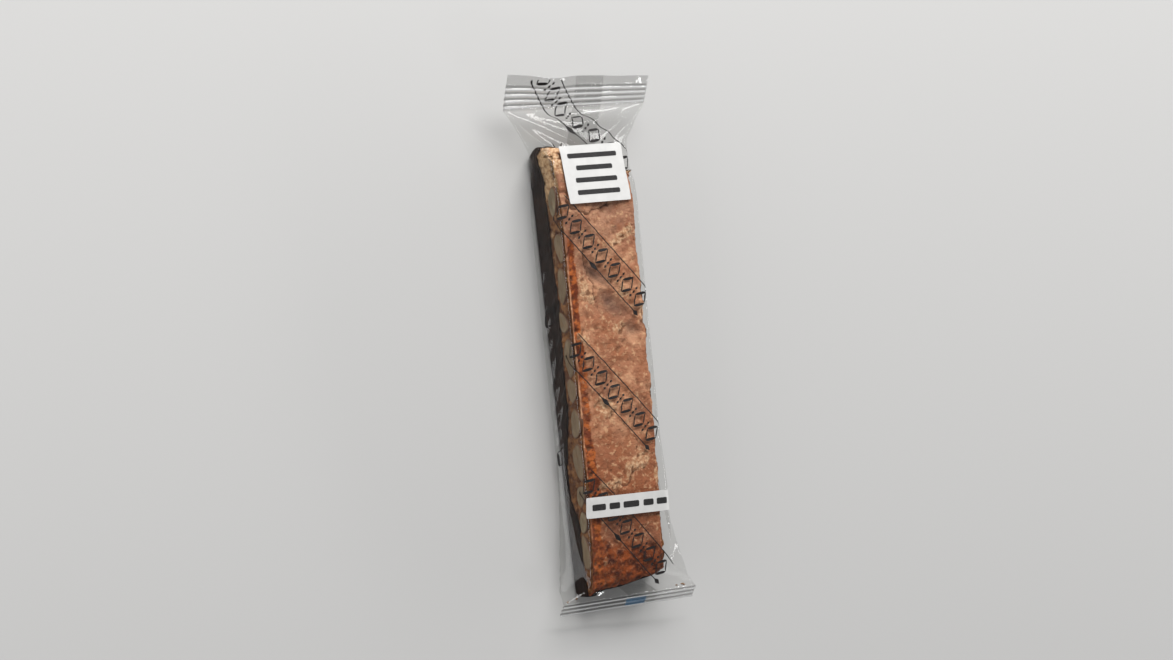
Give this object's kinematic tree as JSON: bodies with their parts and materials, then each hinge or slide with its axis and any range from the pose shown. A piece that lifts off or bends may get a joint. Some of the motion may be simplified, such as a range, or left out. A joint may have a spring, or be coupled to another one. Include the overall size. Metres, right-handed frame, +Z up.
{
  "type": "wrapped biscotti",
  "caption": "Chocolate-dipped almond biscotti sealed in a clear flow-wrapped pack with ridged end seals and plain white stickers.",
  "frame": {"origin": "centre of the pack's bounding box at its base, on the surface that it lies on", "axes": "+Z up out of the crust side, +Y along the pack towards the head seal, +X across it"},
  "size_m": [0.0502, 0.165, 0.018],
  "materials": {
    "film": "thin clear film, glossy",
    "label": "smooth white sticker",
    "ink": "dark print on film and stickers",
    "crust": "dry baked crust",
    "crumb": "porous cut crumb",
    "almond": "cut nut",
    "chocolate": "satin chocolate"
  },
  "bodies": {
    "root": {"film_pack": "film", "label_upper": "label", "label_lower": "label"}
  },
  "joints": []
}
